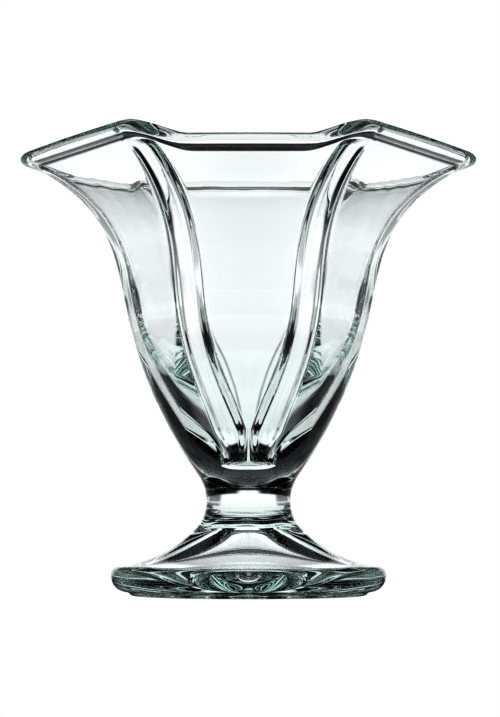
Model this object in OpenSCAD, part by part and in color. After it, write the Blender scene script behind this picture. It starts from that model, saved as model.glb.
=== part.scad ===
// Pressed parfait glass: a six-sided flared bowl on a short waisted stem and a round, hollow foot.
// Millimetres, +Z up, origin on the table under the centre of the foot.
// Two opposite corners of the bowl lie on X, and a lowered side faces -Y.

/* [Foot] */
// Diameter of the foot over its rounded edge
foot_d = 72.6; // [62:0.2:90]
// Height of the foot piece from the table to its joint with the stem
foot_h = 19; // [17:0.2:24]
// Height of the foot's rounded edge
foot_edge_h = 6.8; // [5:0.1:8]
// Rounding of the edge's upper corner
edge_round_top = 2; // [0.6:0.1:2.4]
// Rounding of the edge's lower corner
edge_round_low = 4.2; // [1:0.1:4.8]
// Radius of the hollow sweep from the stem out to the edge
foot_sweep_r = 32; // [26:0.5:60]
// Outer diameter of the ring that the glass rests on
ring_d = 62.6; // [50:0.2:64]
// Width of the resting ring
ring_w = 4; // [2:0.25:6]
// Height of the resting ring below the edge
ring_h = 1; // [0.6:0.1:2.5]
// Height of the hollow under the foot
hollow_h = 14.1; // [9:0.1:15]
// Diameter of the hollow's flat roof
hollow_top_d = 9.6; // [5:0.2:14]
// Radius of the hollow's curved wall
hollow_sweep_r = 60; // [40:1:100]

/* [Stem] */
// Height of the stem between its two joints
stem_h = 11.8; // [8:0.2:20]
// Diameter of the stem at its waist
stem_waist_d = 22.2; // [16:0.2:24]
// Diameter of the hot joints at both ends of the stem
joint_d = 25.4; // [24.6:0.2:28]

/* [Bowl outside] */
// Length of the wall curve's pull at the stem joint, in the direction that the stem ends in
base_pull = 3; // [1:0.1:6]
// Radius of the point that pulls the wall out into its belly
belly_r = 48; // [44:0.1:52]
// Height of that point above the stem joint
belly_h = 46.9; // [43:0.1:51]
// Radius of the point that pulls the wall in below the flare
waist_r = 23.3; // [20:0.1:27]
// Height of that point above the stem joint
waist_h = 51.6; // [48:0.1:56]
// Radius of a rim corner's outer edge
rim_r = 59.6; // [52:0.1:66]
// Height of a rim corner's outer edge above the stem joint
rim_h = 83.7; // [78:0.1:92]
// Angle of the flared wall at the rim
rim_angle = 21.5; // [15:0.5:32]
// Length of the flare's pull at the rim
rim_pull = 24; // [20:0.5:28]
// Rounding of the six outer corners
corner_round = 9; // [6:0.1:11]

/* [Bowl inside] */
// Height of the cavity floor's edge above the stem joint
floor_t = 6.3; // [4:0.1:8]
// Radius of the cavity's floor
floor_r = 5.6; // [4:0.1:7]
// Depth of the dish in the cavity's floor
floor_dish = 0.8; // [0.2:0.1:2]
// Length of the cavity curve's upright pull at its floor
cavity_pull = 14.4; // [11:0.1:18]
// How far the cavity's belly point lies outside the outer wall's belly point
cavity_belly_out = 14.5; // [12.5:0.1:18]
// How far the cavity's belly point lies above the outer wall's belly point
cavity_belly_up = 1.8; // [0:0.1:4]
// How far the cavity's waist point lies inside the outer wall's waist point
cavity_waist_in = 14; // [12.5:0.1:17]
// How far the cavity's waist point lies below the outer wall's waist point
cavity_waist_down = 7; // [5:0.1:9]
// Thickness of the wall below the lip
rim_t = 2.5; // [2:0.1:4]
// Width of the rib inside each corner
rib_w = 8; // [5:0.1:10]
// Height of the ribs in the lower half of the bowl
rib_h = 3.4; // [0.5:0.1:4]
// Height of the ribs in the flare
rib_h_top = 2; // [0.25:0.05:3]

/* [Lip] */
// Thickness of the swollen lip
lip_t = 4.5; // [3.5:0.1:6]
// Length of wall over which the lip swells
lip_swell = 3; // [2:0.1:6]
// Share of the swelling that stands out on the outside of the wall
lip_out = 0.2; // [0:0.05:0.5]
// How much shorter the wall of the three lowered sides is
lip_drop = 6.2; // [0:0.1:8]
// Length of rim over which a lowered side falls away from its corner
lip_fall = 13; // [6:0.5:20]

/* [Hidden] */
$fn = 120;

// Number of sides, and of points on each corner and each side of a ring
sides = 6;
corner_steps = 6;
side_steps = 6;
// Rings up a wall, over its swollen end, round the lip and across the floor
wall_rings = 22;
swell_rings = 4;
lip_rings = 8;
floor_rings = 3;
// Half of one side's angle
half_side = 180 / sides;
// Share of a round section that the corners keep where the bowl meets the stem
base_roundness = 0.97;
// Least share of a side that stays flat between two ribs
panel_share = 0.04;
// Places along a wall curve: the corners are formed, the ribs are full, and the ribs get lower
corners_formed = 0.5;
ribs_full = 0.12;
ribs_lower = 0.45;
ribs_lower_run = 0.3;
ribs_fade = 0.05;
// Step along a curve for its direction, and the least straight height of the foot's edge
tiny = 0.004;
least = 0.1;

foot_r = foot_d / 2;
joint_r = joint_d / 2;
ring_r = ring_d / 2;
edge_top = ring_h + foot_edge_h;
stem_z = foot_h;
bowl_z = foot_h + stem_h;

// The stem's waist is an arc, and the bowl leaves the stem in the arc's direction
stem_waist_r = min(stem_waist_d / 2, joint_r - least);
waist_dip = joint_r - stem_waist_r;
waist_arc_r = (stem_h * stem_h / 4 + waist_dip * waist_dip) / (2 * waist_dip);
base_angle = 90 - asin(stem_h / 2 / waist_arc_r);

glass = [0.85, 0.93, 0.92, 0.45];

// Curves in the radius and height plane

function aim(angle) = [cos(angle), sin(angle)];

function mix(a, b, t) = a + (b - a) * t;

function ease(x) = let (u = min(1, max(0, x))) u * u * (3 - 2 * u);

// A smooth curve drawn towards its points, whatever their number
function bezier(points, t) =
    len(points) == 1
        ? points[0]
        : bezier([for (i = [0 : len(points) - 2]) mix(points[i], points[i + 1], t)], t);

outer_base = [joint_r, 0];
outer_rim = [rim_r, rim_h];
inner_base = [floor_r, floor_t];
inner_rim = outer_rim + rim_t * aim(rim_angle + 90);

outer_curve = [
    outer_base,
    outer_base + base_pull * aim(base_angle),
    [belly_r, belly_h],
    [waist_r, waist_h],
    outer_rim - rim_pull * aim(rim_angle),
    outer_rim
];
inner_curve = [
    inner_base,
    inner_base + [0, cavity_pull],
    [belly_r + cavity_belly_out, belly_h + cavity_belly_up],
    [waist_r - cavity_waist_in, waist_h - cavity_waist_down],
    inner_rim - rim_pull * aim(rim_angle),
    inner_rim
];

// How fast the wall curves run at the rim, in millimetres
rim_speed = (len(outer_curve) - 1) * rim_pull;

// Sections of the bowl, each point given by its side, its step in that side and its place along the wall.
// Steps 0 to corner_steps go round the corner, and the rest along the side to the next corner.

side_points = corner_steps + side_steps;

function corner_place(step) = 2 * step / corner_steps - 1;

function side_place(step) = (1 - cos(180 * (step - corner_steps) / side_steps)) / 2;

function polar(r, angle) = [r * cos(angle), r * sin(angle)];

function outer_corner(side, place, t) =
    let (
        p = bezier(outer_curve, t),
        rounding = mix(p[0] * base_roundness, corner_round, ease(t / corners_formed)),
        middle = 2 * half_side * side
    )
    concat(polar(p[0] - rounding, middle) + polar(rounding, middle + half_side * place), [p[1]]);

// The ribs grow from the floor, get lower in the flare and run out below the lip
function rib_height(t) =
    mix(rib_h, rib_h_top, ease((t - ribs_lower) / ribs_lower_run))
    * ease(t / ribs_full)
    * ease((1 - t) / ribs_fade);

// The ribs stand on the flat sides, which close up where the cavity is narrow
function inner_corner(side, place, t) =
    let (
        p = bezier(inner_curve, t),
        reach = min(rib_w / 2, (1 - panel_share) * p[0] * cos(half_side) / 2),
        rounding = reach * tan(half_side) * (1 + place * place) / 2,
        rib = rib_height(t) * pow(1 - place * place, 2),
        middle = 2 * half_side * side
    )
    concat(polar(p[0] - rounding - rib, middle) + polar(reach * place, middle + 90), [p[1]]);

function outer_point(side, step, t) =
    step <= corner_steps
        ? outer_corner(side, corner_place(step), t)
        : mix(outer_corner(side, 1, t), outer_corner(side + 1, -1, t), side_place(step));

function inner_point(side, step, t) =
    step <= corner_steps
        ? inner_corner(side, corner_place(step), t)
        : mix(inner_corner(side, 1, t), inner_corner(side + 1, -1, t), side_place(step));

// Rim

function lies_low(side) = side % 2 == 0;

rim_corner = corner_round * half_side * PI / 180;
rim_side = 2 * (rim_r - corner_round) * sin(half_side);

// Distance along the rim from the nearest corner of a lowered side, or 0 where the rim stays high
function rim_distance(side, step) =
    step <= corner_steps
        ? let (place = corner_place(step), faces = place > 0 ? side : side + sides - 1)
            lies_low(faces) ? rim_corner * abs(place) : 0
        : lies_low(side)
            ? rim_corner + rim_side * min(side_place(step), 1 - side_place(step))
            : 0;

// The wall ends earlier along its curve on the lowered sides
function rim_end(side, step) = 1 - lip_drop / rim_speed * ease(rim_distance(side, step) / lip_fall);

ring_steps = [for (side = [0 : sides - 1], step = [0 : side_points - 1]) [side, step]];

// Each entry has the wall's end, the direction across it and how much its lip swells
rim = [
    for (s = ring_steps)
        let (
            end = rim_end(s[0], s[1]),
            gap = inner_point(s[0], s[1], end) - outer_point(s[0], s[1], end)
        )
        [end, gap / norm(gap), max(lip_t - norm(gap), 0)]
];

function bead(i, share) = rim[i][2] * (1 - ease((1 - share) * rim[i][0] * rim_speed / lip_swell));

function outside(i, share) =
    let (s = ring_steps[i])
    outer_point(s[0], s[1], rim[i][0] * share) - rim[i][1] * bead(i, share) * lip_out;

function inside(i, share) =
    let (s = ring_steps[i])
    inner_point(s[0], s[1], rim[i][0] * share) + rim[i][1] * bead(i, share) * (1 - lip_out);

// The lip is a half round from the outer wall to the inner wall
function lip_point(i, turn) =
    let (
        s = ring_steps[i],
        outer = outside(i, 1),
        inner = inside(i, 1),
        run = outer_point(s[0], s[1], rim[i][0]) - outer_point(s[0], s[1], rim[i][0] - tiny),
        half = (outer - inner) / 2
    )
    (outer + inner) / 2 + half * cos(turn) + run / norm(run) * norm(half) * sin(turn);

function floor_point(i, share) =
    let (p = inside(i, 0))
    [p[0] * share, p[1] * share, p[2] - floor_dish * (1 - share * share)];

// Shares of the way up a wall, close together where the lip swells
swell_start = 1 - lip_swell / rim_speed;
climb = concat(
    [for (i = [0 : wall_rings - 1]) swell_start * i / wall_rings],
    [for (i = [0 : swell_rings]) mix(swell_start, 1, i / swell_rings)]
);

points_round = [0 : len(ring_steps) - 1];

// Rings that climb the outside, cross the lip, go down the inside and close in on the floor
bowl_rings = concat(
    [for (k = [0 : len(climb) - 1]) [for (i = points_round) outside(i, climb[k])]],
    [for (k = [1 : lip_rings - 1]) [for (i = points_round) lip_point(i, 180 * k / lip_rings)]],
    [for (k = [len(climb) - 1 : -1 : 0]) [for (i = points_round) inside(i, climb[k])]],
    [for (k = [floor_rings - 1 : -1 : 1]) [for (i = points_round) floor_point(i, k / floor_rings)]]
);

// Skins a stack of rings and closes its ends with fans round two middle points
module loft(rings, first_middle, last_middle) {
    n = len(rings[0]);
    last = len(rings) - 1;
    low = n * len(rings);
    high = low + 1;
    points = concat([for (ring = rings) each ring], [first_middle, last_middle]);
    faces = concat(
        [for (i = [0 : last - 1], j = [0 : n - 1])
            [i * n + j, (i + 1) * n + j, (i + 1) * n + (j + 1) % n]],
        [for (i = [0 : last - 1], j = [0 : n - 1])
            [i * n + j, (i + 1) * n + (j + 1) % n, i * n + (j + 1) % n]],
        [for (j = [0 : n - 1]) [low, j, (j + 1) % n]],
        [for (j = [0 : n - 1]) [high, last * n + (j + 1) % n, last * n + j]]
    );
    polyhedron(points, faces, convexity = 8);
}

module bowl() {
    color(glass)
        translate([0, 0, bowl_z])
            loft(bowl_rings, [0, 0, 0], [0, 0, floor_t - floor_dish]);
}

// A spool whose waist is an arc between two equal joints
module stem() {
    color(glass)
        translate([0, 0, stem_z])
            rotate_extrude()
                difference() {
                    square([joint_r, stem_h]);
                    translate([stem_waist_r + waist_arc_r, stem_h / 2])
                        circle(waist_arc_r);
                }
}

// Middle of an arc that sags from an upper point to a lower point further out
function sweep_middle(from, to, radius) =
    let (
        chord = to - from,
        span = norm(chord),
        out = [-chord[1], chord[0]] / span
    )
    (from + to) / 2 + out * sqrt(radius * radius - span * span / 4);

// Half section of the foot's rounded edge and the plate inside it
module edge_section() {
    low = min(edge_round_low, foot_edge_h - edge_round_top - least);
    translate([0, ring_h])
        square([foot_r - low, foot_edge_h - edge_round_top]);
    translate([0, ring_h + low])
        square([foot_r, foot_edge_h - low - edge_round_top]);
    translate([foot_r - low, ring_h + low])
        circle(low);
    translate([foot_r - edge_round_top, edge_top - edge_round_top])
        circle(edge_round_top);
}

module foot() {
    sweep_to = [foot_r - edge_round_top, edge_top];
    plate = edge_top - edge_round_top;
    hollow_r = ring_r - ring_w;
    roof_edge = [hollow_top_d / 2, hollow_h];
    color(glass)
        rotate_extrude()
            difference() {
                union() {
                    square([ring_r, plate]);
                    edge_section();
                    difference() {
                        translate([0, plate])
                            square([sweep_to[0], foot_h - plate]);
                        translate(sweep_middle([joint_r, foot_h], sweep_to, foot_sweep_r))
                            circle(foot_sweep_r);
                    }
                }
                difference() {
                    translate([0, -ring_h])
                        square([hollow_r, hollow_h + ring_h]);
                    translate(sweep_middle(roof_edge, [hollow_r, ring_h / 2], hollow_sweep_r))
                        circle(hollow_sweep_r);
                }
            }
}

bowl();
stem();
foot();
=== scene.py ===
"""Looks of a clear pressed parfait glass that stands on a white table in a plain studio."""

import math

import bpy
import numpy as np
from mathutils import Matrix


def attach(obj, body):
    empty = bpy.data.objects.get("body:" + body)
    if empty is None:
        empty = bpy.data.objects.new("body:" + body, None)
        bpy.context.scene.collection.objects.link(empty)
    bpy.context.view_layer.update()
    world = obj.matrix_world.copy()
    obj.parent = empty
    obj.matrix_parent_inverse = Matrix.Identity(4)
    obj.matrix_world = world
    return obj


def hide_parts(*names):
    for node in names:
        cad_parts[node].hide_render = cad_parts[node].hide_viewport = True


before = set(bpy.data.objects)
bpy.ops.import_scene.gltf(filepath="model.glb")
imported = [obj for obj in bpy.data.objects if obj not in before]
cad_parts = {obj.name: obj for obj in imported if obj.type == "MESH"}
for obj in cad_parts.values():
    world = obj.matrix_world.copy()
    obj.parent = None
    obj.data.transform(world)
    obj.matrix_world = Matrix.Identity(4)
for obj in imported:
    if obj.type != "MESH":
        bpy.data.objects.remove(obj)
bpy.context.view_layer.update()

MM = 0.001

# Sizes of the glass in millimetres, the same as the solids have
FOOT_D = 72.6
FOOT_H = 19.0
FOOT_EDGE_H = 6.8
EDGE_ROUND_TOP = 2.0
EDGE_ROUND_LOW = 4.2
FOOT_SWEEP_R = 32.0
RING_D = 62.6
RING_W = 4.0
RING_H = 1.0
HOLLOW_H = 14.1
HOLLOW_TOP_D = 9.6
HOLLOW_SWEEP_R = 60.0

STEM_H = 11.8
STEM_WAIST_D = 22.2
JOINT_D = 25.4

BASE_PULL = 3.0
BELLY_R = 48.0
BELLY_H = 46.9
WAIST_R = 23.3
WAIST_H = 51.6
RIM_R = 59.6
RIM_H = 83.7
RIM_ANGLE = 21.5
RIM_PULL = 24.0
CORNER_ROUND = 9.0

FLOOR_T = 6.3
FLOOR_R = 5.6
FLOOR_DISH = 0.8
CAVITY_PULL = 14.4
CAVITY_BELLY_OUT = 14.5
CAVITY_BELLY_UP = 1.8
CAVITY_WAIST_IN = 14.0
CAVITY_WAIST_DOWN = 7.0
RIM_T = 2.5
RIB_W = 8.0
RIB_H = 3.4
RIB_H_TOP = 2.0

LIP_T = 4.5
LIP_SWELL = 3.0
LIP_OUT = 0.2
LIP_DROP = 6.2
LIP_FALL = 13.0

SIDES = 6
HALF_SIDE = math.pi / SIDES
BASE_ROUNDNESS = 0.97
PANEL_SHARE = 0.04

# Places along a wall curve: the corners are formed, the ribs are full, and the ribs get lower
CORNERS_FORMED = 0.5
RIBS_FULL = 0.12
RIBS_LOWER = 0.45
RIBS_LOWER_RUN = 0.3
RIBS_FADE = 0.05
TINY = 0.004

# Number of points round a corner and along a side, and of rings on each part of the surface
CORNER_STEPS = 60
SIDE_STEPS = 30
WALL_RINGS = 160
LIP_RINGS = 40
FLOOR_RINGS = 6
PROFILE_STEP = 0.2

# Groove at the foot of each rib, on the side with the higher lip: its middle and reach as shares
# of half the rib, its depth, where along the wall it ends, and the length of that end
GROOVE_AT = 0.76
GROOVE_REACH = 0.24
GROOVE_DEPTH = 0.6
GROOVE_TOP = 0.95
GROOVE_RUN = 0.03

# How far fire polishing has softened the corners under the foot and over it
POLISH_UNDER = 0.7
POLISH_OVER = 1.2

# Ripples at the joint of foot and stem: middle, reach, height and pitch, and the waves that bend
# them, each with its count round the stem, height and phase
RIPPLE_Z = 18.8
RIPPLE_REACH = 2.2
RIPPLE_H = 0.025
RIPPLE_PITCH = 0.9
RIPPLE_WAVES = [(2, 0.3, 0.7), (5, 0.18, 2.0), (9, 0.12, 0.0)]

FOOT_R = FOOT_D / 2
JOINT_R = JOINT_D / 2
RING_R = RING_D / 2
HOLLOW_R = RING_R - RING_W
EDGE_TOP = RING_H + FOOT_EDGE_H
BOWL_Z = FOOT_H + STEM_H

# The stem's waist is an arc, and the bowl leaves the stem in the arc's direction
WAIST_DIP = (JOINT_D - STEM_WAIST_D) / 2
WAIST_ARC_R = (STEM_H ** 2 / 4 + WAIST_DIP ** 2) / (2 * WAIST_DIP)
BASE_ANGLE = 90 - math.degrees(math.asin(STEM_H / 2 / WAIST_ARC_R))

# The camera stands where the photograph's did, close to the table and tilted up
CAMERA_X = 0.0004
CAMERA_DISTANCE = 0.60
EYE_HEIGHT = 0.0196
CAMERA_TILT = math.radians(4.1)
LENS_MM = 113.7
SENSOR_MM = 36.0


# Curves in the radius and height plane

def aim(degrees):
    return np.array([math.cos(math.radians(degrees)), math.sin(math.radians(degrees))])


def mix(a, b, share):
    return a + (b - a) * share


def ease(x):
    u = np.clip(x, 0, 1)
    return u * u * (3 - 2 * u)


def bell(reach):
    """Weights of a soft average that reaches so many steps to each side."""
    count = int(3 * reach)
    weights = np.exp(-0.5 * (np.arange(-count, count + 1) / reach) ** 2)
    return weights / weights.sum()


def bezier(points, t):
    t = np.asarray(t)[..., None]
    while len(points) > 1:
        points = [mix(a, b, t) for a, b in zip(points, points[1:])]
    return points[0]


OUTER_BASE = np.array([JOINT_R, 0.0])
OUTER_RIM = np.array([RIM_R, RIM_H])
INNER_BASE = np.array([FLOOR_R, FLOOR_T])
INNER_RIM = OUTER_RIM + RIM_T * aim(RIM_ANGLE + 90)

OUTER_CURVE = [
    OUTER_BASE,
    OUTER_BASE + BASE_PULL * aim(BASE_ANGLE),
    np.array([BELLY_R, BELLY_H]),
    np.array([WAIST_R, WAIST_H]),
    OUTER_RIM - RIM_PULL * aim(RIM_ANGLE),
    OUTER_RIM,
]
INNER_CURVE = [
    INNER_BASE,
    INNER_BASE + np.array([0.0, CAVITY_PULL]),
    np.array([BELLY_R + CAVITY_BELLY_OUT, BELLY_H + CAVITY_BELLY_UP]),
    np.array([WAIST_R - CAVITY_WAIST_IN, WAIST_H - CAVITY_WAIST_DOWN]),
    INNER_RIM - RIM_PULL * aim(RIM_ANGLE),
    INNER_RIM,
]

# How fast the wall curves run at the rim, in millimetres
RIM_SPEED = (len(OUTER_CURVE) - 1) * RIM_PULL


# Rings of the bowl: each point has its side, its place round the corner and its share of the side

def ring_layout():
    corner_place = 2 * np.arange(CORNER_STEPS + 1) / CORNER_STEPS - 1
    side_share = (1 - np.cos(np.pi * np.arange(1, SIDE_STEPS) / SIDE_STEPS)) / 2
    place = np.concatenate([corner_place, np.ones(SIDE_STEPS - 1)])
    share = np.concatenate([np.zeros(CORNER_STEPS + 1), side_share])
    side = np.repeat(np.arange(SIDES), len(place))
    return side, np.tile(place, SIDES), np.tile(share, SIDES)


SIDE, PLACE, SHARE = ring_layout()


def upright(xy, height):
    return np.column_stack([xy, height])


def polar(radius, angle):
    return np.column_stack([radius * np.cos(angle), radius * np.sin(angle)])


def outer_corner(side, place, t):
    p = bezier(OUTER_CURVE, t)
    rounding = mix(p[:, 0] * BASE_ROUNDNESS, CORNER_ROUND, ease(t / CORNERS_FORMED))
    middle = 2 * HALF_SIDE * side
    xy = polar(p[:, 0] - rounding, middle) + polar(rounding, middle + HALF_SIDE * place)
    return upright(xy, p[:, 1])


def rib_height(t):
    """The ribs grow from the floor, get lower in the flare and run out below the lip."""
    height = mix(RIB_H, RIB_H_TOP, ease((t - RIBS_LOWER) / RIBS_LOWER_RUN))
    return height * ease(t / RIBS_FULL) * ease((1 - t) / RIBS_FADE)


def rib_groove(side, place, t):
    """The narrow groove at a rib's foot, on the side of the higher lip only."""
    across = np.where(side % 2 == 0, -place, place)
    hollow = np.clip(np.abs(across - GROOVE_AT) / GROOVE_REACH, 0, 1)
    ends = ease((GROOVE_TOP - t) / GROOVE_RUN) * ease(t / RIBS_FULL)
    return GROOVE_DEPTH * (1 + np.cos(np.pi * hollow)) / 2 * ends


def inner_corner(side, place, t):
    p = bezier(INNER_CURVE, t)
    reach = np.minimum(RIB_W / 2, (1 - PANEL_SHARE) * p[:, 0] * math.cos(HALF_SIDE) / 2)
    rounding = reach * math.tan(HALF_SIDE) * (1 + place ** 2) / 2
    rib = rib_height(t) * (1 - place ** 2) ** 2 - rib_groove(side, place, t)
    middle = 2 * HALF_SIDE * side
    xy = polar(p[:, 0] - rounding - rib, middle) + polar(reach * place, middle + math.pi / 2)
    return upright(xy, p[:, 1])


def wall(corner, t):
    """One ring of a wall, with its own place along the wall for each point."""
    far = np.full_like(PLACE, -1.0)
    return mix(corner(SIDE, PLACE, t), corner(SIDE + 1, far, t), SHARE[:, None])


def rim_end():
    """How far the wall runs at each point of the ring: the three lowered sides end earlier."""
    on_side = SHARE > 0
    faces = np.where(on_side | (PLACE > 0), SIDE, SIDE + SIDES - 1)
    lowered = faces % 2 == 0
    flat = 2 * (RIM_R - CORNER_ROUND) * math.sin(HALF_SIDE)
    distance = CORNER_ROUND * HALF_SIDE * np.abs(PLACE) + flat * np.minimum(SHARE, 1 - SHARE)
    drop = LIP_DROP / RIM_SPEED * ease(distance / LIP_FALL)
    return 1 - np.where(lowered, drop, 0)


def unit(vectors):
    return vectors / np.linalg.norm(vectors, axis=1)[:, None]


def bowl_rings():
    """Rings up the outside, over the lip, down the inside and in over the cavity's floor."""
    end = rim_end()
    climb = np.arange(1, WALL_RINGS + 1) / WALL_RINGS
    last_outer, last_inner = wall(outer_corner, end), wall(inner_corner, end)
    across = unit(last_inner - last_outer)
    swell = np.maximum(LIP_T - np.linalg.norm(last_inner - last_outer, axis=1), 0)

    def bead(s):
        return (swell * (1 - ease((1 - s) * end * RIM_SPEED / LIP_SWELL)))[:, None]

    outside = [wall(outer_corner, end * s) - across * bead(s) * LIP_OUT for s in climb]
    inside = [wall(inner_corner, end * s) + across * bead(s) * (1 - LIP_OUT)
              for s in np.append(0, climb)]
    inside.reverse()
    forward = unit(last_outer - wall(outer_corner, end - TINY))
    half = (outside[-1] - inside[0]) / 2
    round_r = np.linalg.norm(half, axis=1)[:, None]
    turns = np.pi * np.arange(1, LIP_RINGS) / LIP_RINGS
    middle = (outside[-1] + inside[0]) / 2
    lip = [middle + half * math.cos(a) + forward * round_r * math.sin(a) for a in turns]
    shares = np.arange(FLOOR_RINGS - 1, 0, -1) / FLOOR_RINGS
    low = inside[-1]
    floor = [low * [q, q, 1] - [0, 0, FLOOR_DISH * (1 - q ** 2)] for q in shares]
    return [ring + [0, 0, BOWL_Z] for ring in outside + lip + inside + floor]


# Outline of the foot and the stem, from under the foot's middle to the bowl

def arc(middle, radius, start, end, count=40):
    angle = np.radians(np.linspace(start, end, count))
    return np.asarray(middle) + radius * np.column_stack([np.cos(angle), np.sin(angle)])


def sweep(start, end, radius):
    """An arc that sags between two points."""
    chord = end - start
    span = np.linalg.norm(chord)
    out = np.array([-chord[1], chord[0]]) / span
    middle = (start + end) / 2 + out * math.sqrt(radius ** 2 - (span / 2) ** 2)
    first, last = (math.degrees(math.atan2(*(p - middle)[::-1])) % 360 for p in (start, end))
    return arc(middle, radius, first, last)


def hollow_outline():
    """From the middle of the hollow's roof, down its wall to the resting ring's inner edge."""
    roof_edge = np.array([HOLLOW_TOP_D / 2, HOLLOW_H])
    wall_foot = np.array([HOLLOW_R, RING_H / 2])
    hollow_wall = sweep(roof_edge, wall_foot, HOLLOW_SWEEP_R)
    return np.vstack([[[0, HOLLOW_H]], hollow_wall, [[HOLLOW_R, 0]]])


def edge_outline():
    """From the resting ring's outer edge round the foot's edge to its top."""
    low = (FOOT_R - EDGE_ROUND_LOW, RING_H + EDGE_ROUND_LOW)
    top = (FOOT_R - EDGE_ROUND_TOP, EDGE_TOP - EDGE_ROUND_TOP)
    return np.vstack([
        [[RING_R, 0], [RING_R, RING_H]],
        arc(low, EDGE_ROUND_LOW, -90, 0),
        arc(top, EDGE_ROUND_TOP, 0, 90),
    ])


def foot_top_outline():
    """From the foot's edge up the hollow sweep to the stem."""
    stem_joint = np.array([JOINT_R, FOOT_H])
    edge = np.array([FOOT_R - EDGE_ROUND_TOP, EDGE_TOP])
    return sweep(stem_joint, edge, FOOT_SWEEP_R)[::-1]


def stem_outline():
    middle = (STEM_WAIST_D / 2 + WAIST_ARC_R, FOOT_H + STEM_H / 2)
    swing = 90 - BASE_ANGLE
    return arc(middle, WAIST_ARC_R, 180 + swing, 180 - swing)


def evenly(points, step):
    """The same outline with its points a step apart."""
    gaps = np.linalg.norm(np.diff(points, axis=0), axis=1)
    run = np.concatenate([[0], np.cumsum(gaps)])
    places = np.linspace(0, run[-1], int(run[-1] / step) + 1)
    return np.column_stack([np.interp(places, run, points[:, k]) for k in range(2)])


def polished(points, reach):
    """Corners softened as fire polishing does, with both ends kept."""
    weights = bell(reach / PROFILE_STEP)
    count = len(weights) // 2
    before = 2 * points[0] - points[count:0:-1]
    after = 2 * points[-1] - points[-2:-count - 2:-1]
    padded = np.vstack([before, points, after])
    return np.column_stack([np.convolve(padded[:, k], weights, "valid") for k in range(2)])


def joint_ripple(r, z, angle):
    """The fine wavy lines that the hot joint of foot and stem leaves in the surface."""
    if r < HOLLOW_TOP_D or abs(z - RIPPLE_Z) > RIPPLE_REACH:
        return 0 * angle
    wave = sum(height * np.sin(turns * angle + phase) for turns, height, phase in RIPPLE_WAVES)
    fade = ease((RIPPLE_REACH - abs(z - RIPPLE_Z)) / (RIPPLE_REACH / 2))
    return RIPPLE_H * fade * np.sin(2 * math.pi * (z + wave) / RIPPLE_PITCH)


def foot_and_stem_rings():
    under = evenly(np.vstack([hollow_outline(), edge_outline()]), PROFILE_STEP)
    over = evenly(np.vstack([foot_top_outline(), stem_outline()]), PROFILE_STEP)
    outline = np.vstack([polished(under, POLISH_UNDER), polished(over, POLISH_OVER)[1:]])
    base = wall(outer_corner, np.zeros_like(PLACE))
    angle = np.arctan2(base[:, 1], base[:, 0])
    level = np.ones_like(angle)
    return [upright(polar(r + joint_ripple(r, z, angle), angle), z * level)
            for r, z in outline[1:]]


def glass_mesh():
    """One closed skin over all three pieces, because the glass runs through both hot joints."""
    rings = foot_and_stem_rings() + bowl_rings()
    n = len(SIDE)
    count = len(rings)
    ends = [[0, 0, rings[0][0, 2]], [0, 0, BOWL_Z + FLOOR_T - FLOOR_DISH]]
    points = np.vstack(rings + [ends]) * MM
    here = np.arange(n)
    ahead = (here + 1) % n
    faces = []
    for i in range(count - 1):
        low, high = i * n, (i + 1) * n
        faces.extend(zip(low + here, low + ahead, high + ahead, high + here))
    first, last = n * count, n * count + 1
    faces.extend((first, b, a) for a, b in zip(here, ahead))
    top = (count - 1) * n
    faces.extend((last, top + a, top + b) for a, b in zip(here, ahead))
    mesh = bpy.data.meshes.new("parfait_glass")
    mesh.from_pydata(points.tolist(), [], [tuple(int(v) for v in face) for face in faces])
    mesh.validate()
    mesh.shade_smooth()
    return mesh


# Materials

GLASS_IOR = 1.52
GLASS_TINT = (0.5, 0.9, 0.86, 1)
TINT_DENSITY = 5.0

# The faint haze of the polish and the flow marks of the pressing: strength, and the pattern's size
# and detail
HAZE = 0.012
HAZE_MM = 6.0
HAZE_DETAIL = 3.0
FLOW_DEPTH = 0.00004
FLOW_MM = 9.0
FLOW_DETAIL = 1.0

WHITE = (1, 1, 1, 1)


def new_material(name):
    material = bpy.data.materials.new(name)
    material.use_nodes = True
    nodes = material.node_tree.nodes
    nodes.clear()
    return material, nodes, material.node_tree.links


def noise(nodes, links, place, pattern_mm, detail):
    """A soft pattern fixed to the glass, with swirls of about the given size."""
    texture = nodes.new("ShaderNodeTexNoise")
    texture.inputs["Scale"].default_value = 1 / (pattern_mm * MM)
    texture.inputs["Detail"].default_value = detail
    links.new(place.outputs["Object"], texture.inputs["Vector"])
    return texture.outputs["Fac"]


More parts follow.
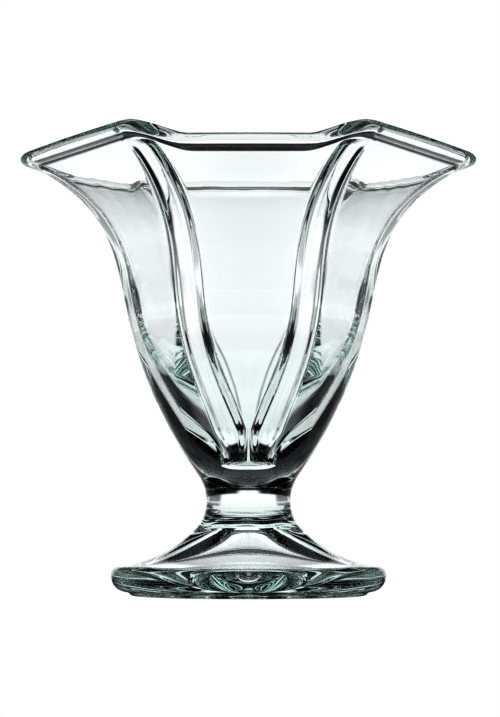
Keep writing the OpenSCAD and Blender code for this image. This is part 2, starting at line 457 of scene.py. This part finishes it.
def clear_glass():
    """Clear soda-lime glass, fire polished, with a faint green-blue tint in its depth."""
    material, nodes, links = new_material("clear_glass")
    output = nodes.new("ShaderNodeOutputMaterial")
    shader = nodes.new("ShaderNodeBsdfPrincipled")
    place = nodes.new("ShaderNodeTexCoord")
    haze = nodes.new("ShaderNodeMapRange")
    haze.inputs["To Min"].default_value = 0.0
    haze.inputs["To Max"].default_value = HAZE
    links.new(noise(nodes, links, place, HAZE_MM, HAZE_DETAIL), haze.inputs["Value"])
    links.new(haze.outputs["Result"], shader.inputs["Roughness"])
    flow = nodes.new("ShaderNodeBump")
    flow.inputs["Strength"].default_value = 1.0
    flow.inputs["Distance"].default_value = FLOW_DEPTH
    links.new(noise(nodes, links, place, FLOW_MM, FLOW_DETAIL), flow.inputs["Height"])
    links.new(flow.outputs["Normal"], shader.inputs["Normal"])
    shader.inputs["Base Color"].default_value = WHITE
    shader.inputs["IOR"].default_value = GLASS_IOR
    shader.inputs["Transmission Weight"].default_value = 1.0
    tint = nodes.new("ShaderNodeVolumeAbsorption")
    tint.inputs["Color"].default_value = GLASS_TINT
    tint.inputs["Density"].default_value = TINT_DENSITY
    links.new(shader.outputs["BSDF"], output.inputs["Surface"])
    links.new(tint.outputs["Volume"], output.inputs["Volume"])
    return material


def glow(name, colour, level_name=""):
    """A material that only shines, evenly or with the level that the mesh carries."""
    material, nodes, links = new_material(name)
    output = nodes.new("ShaderNodeOutputMaterial")
    shader = nodes.new("ShaderNodeEmission")
    shader.inputs["Color"].default_value = colour
    shader.inputs["Strength"].default_value = 1.0
    if level_name:
        level = nodes.new("ShaderNodeAttribute")
        level.attribute_name = level_name
        links.new(level.outputs["Fac"], shader.inputs["Strength"])
    links.new(shader.outputs["Emission"], output.inputs["Surface"])
    return material


# Scene

def add_glass():
    glass = bpy.data.objects.new("parfait_glass", glass_mesh())
    bpy.context.scene.collection.objects.link(glass)
    glass.data.materials.append(clear_glass())
    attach(glass, "root")
    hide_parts("bowl", "stem", "foot")


def add_stage(name, points, faces, material, seen):
    """A piece of the studio that either the eye sees or the glass does."""
    mesh = bpy.data.meshes.new(name)
    mesh.from_pydata(points, [], faces)
    mesh.materials.append(material)
    piece = bpy.data.objects.new(name, mesh)
    bpy.context.scene.collection.objects.link(piece)
    piece.visible_camera = seen
    piece.visible_transmission = not seen
    piece.visible_glossy = not seen
    piece.visible_diffuse = not seen
    return mesh


# Studio: a floor and a wall of light round the glass, in metres and degrees
TABLE_Z = -0.0002
TABLE_HALF = 3.0
STUDIO_LIGHT = (0.97, 1.0, 0.994, 1)
DIM_LIGHT = (0.006, 0.006, 0.006, 1)
UNDER_FOOT_R = (0.0001, 0.029)
FLOOR_R0 = 0.045
FLOOR_ROWS = 70
WALL_R = 1.2
WALL_TOP = 80

# Ends that lie just past the last row and the last column
FAR = 1.3
ROUND = 181

# Each patch has its inner and outer radius, or its lower and upper elevation, then its first and
# last azimuth from behind the glass, on both sides, and its level. A later patch goes over an
# earlier one
FLOOR_PATCHES = [
    (FLOOR_R0, 0.12, 0, 30, 1.0),
    (FLOOR_R0, 0.12, 30, 42, 0.9),
    (0.07, 0.12, 42, 60, 0.2),
    (0.12, FAR, 0, 30, 1.05),
    (0.12, 0.2, 30, 60, 0.3),
    (0.2, 0.35, 30, 60, 0.6),
    (0.35, FAR, 30, 60, 0.85),
    (0.35, FAR, 60, ROUND, 1.1),
    (0.12, 0.35, 60, 110, 0.45),
    (0.2, 0.35, 110, ROUND, 0.7),
    (0.07, 0.2, 120, ROUND, 0.7),
]
WALL_PATCHES = [
    (0, 24, 0, 3, 1.0),
    (0, 24, 3, 10, 1.25),
    (0, 16, 10, 30, 1.25),
    (50, 68, 0, 5, 1.2),
    (0, 16, 30, 60, 0.3),
    (0, 16, 60, 135, 1.0),
    (0, 24, 135, ROUND, 1.0),
]

# The light's rows and columns, a degree apart on the wall, and how soft its edges are, in rows and
# in columns
AZIMUTHS = np.arange(-180.0, 181.0)
RADII = np.geomspace(FLOOR_R0, WALL_R, FLOOR_ROWS)
ELEVATIONS = np.arange(0.0, WALL_TOP + 1.0)
SOFT_ROWS = 1.5
SOFT_COLUMNS = 2.0


def patch_levels(patches, rows):
    """The level of each row and azimuth, with hard edges."""
    across, azimuth = np.meshgrid(rows, np.abs(AZIMUTHS), indexing="ij")
    levels = np.zeros_like(across)
    for low, top, start, end, level in patches:
        levels[(across >= low) & (across < top) & (azimuth >= start) & (azimuth < end)] = level
    return levels


def softened(levels):
    """The same levels with soft edges along both ways."""
    for axis, reach in ((0, SOFT_ROWS), (1, SOFT_COLUMNS)):
        weights = bell(reach)
        count = len(weights) // 2
        pad = [(count, count) if k == axis else (0, 0) for k in range(2)]
        padded = np.pad(levels, pad, mode="edge")
        levels = np.apply_along_axis(np.convolve, axis, padded, weights, "valid")
    return levels


def add_light(name, rings, levels):
    """A strip of light round the glass, with its own level at each point."""
    angles = np.radians(AZIMUTHS)
    n = len(angles)
    points = [(r * math.sin(a), r * math.cos(a), z) for r, z in rings for a in angles]
    faces = [(k * n + j, k * n + j + 1, (k + 1) * n + j + 1, (k + 1) * n + j)
             for k in range(len(rings) - 1) for j in range(n - 1)]
    mesh = add_stage(name, points, faces, glow(name, STUDIO_LIGHT, "level"), False)
    mesh.attributes.new("level", "FLOAT", "POINT").data.foreach_set("value", levels.ravel())


def add_studio():
    """A white table that only the eye sees, and soft light that only the glass sees."""
    signs = [(-1, -1), (1, -1), (1, 1), (-1, 1)]
    corners = [(x * TABLE_HALF, y * TABLE_HALF, TABLE_Z) for x, y in signs]
    add_stage("floor", corners, [(0, 1, 2, 3)], glow("floor", WHITE), True)
    under = [(r, TABLE_Z) for r in UNDER_FOOT_R]
    add_light("light_under_foot", under, np.ones((len(under), len(AZIMUTHS))))
    floor = [(r, TABLE_Z) for r in RADII]
    add_light("light_floor", floor, softened(patch_levels(FLOOR_PATCHES, RADII)))
    around = [tuple(WALL_R * aim(elevation)) for elevation in ELEVATIONS]
    add_light("light_wall", around, softened(patch_levels(WALL_PATCHES, ELEVATIONS)))


def add_world():
    """A plain white surround to the eye, and a dim studio to the glass."""
    world = bpy.data.worlds.new("studio")
    bpy.context.scene.world = world
    world.use_nodes = True
    nodes = world.node_tree.nodes
    links = world.node_tree.links
    nodes.clear()
    output = nodes.new("ShaderNodeOutputWorld")
    seen = nodes.new("ShaderNodeBackground")
    seen.inputs["Color"].default_value = WHITE
    dim = nodes.new("ShaderNodeBackground")
    dim.inputs["Color"].default_value = DIM_LIGHT
    path = nodes.new("ShaderNodeLightPath")
    choose = nodes.new("ShaderNodeMixShader")
    links.new(path.outputs["Is Camera Ray"], choose.inputs[0])
    links.new(dim.outputs[0], choose.inputs[1])
    links.new(seen.outputs[0], choose.inputs[2])
    links.new(choose.outputs[0], output.inputs["Surface"])


def add_camera():
    data = bpy.data.cameras.new("camera")
    data.sensor_width = SENSOR_MM
    data.lens = LENS_MM
    camera = bpy.data.objects.new("camera", data)
    camera.location = (CAMERA_X, -CAMERA_DISTANCE, EYE_HEIGHT)
    camera.rotation_euler = (math.pi / 2 + CAMERA_TILT, 0, 0)
    bpy.context.scene.collection.objects.link(camera)
    bpy.context.scene.camera = camera


add_glass()
add_studio()
add_world()
add_camera()

# A print like the photograph's, and enough bounces for light to find its way out of thick glass
PRINT_GAMMA = 0.62
BOUNCES = 32
GLOSSY_BOUNCES = 16

scene = bpy.context.scene
scene.view_settings.view_transform = "Standard"
scene.view_settings.gamma = PRINT_GAMMA
scene.cycles.use_denoising = True
scene.cycles.max_bounces = BOUNCES
scene.cycles.transmission_bounces = BOUNCES
scene.cycles.glossy_bounces = GLOSSY_BOUNCES
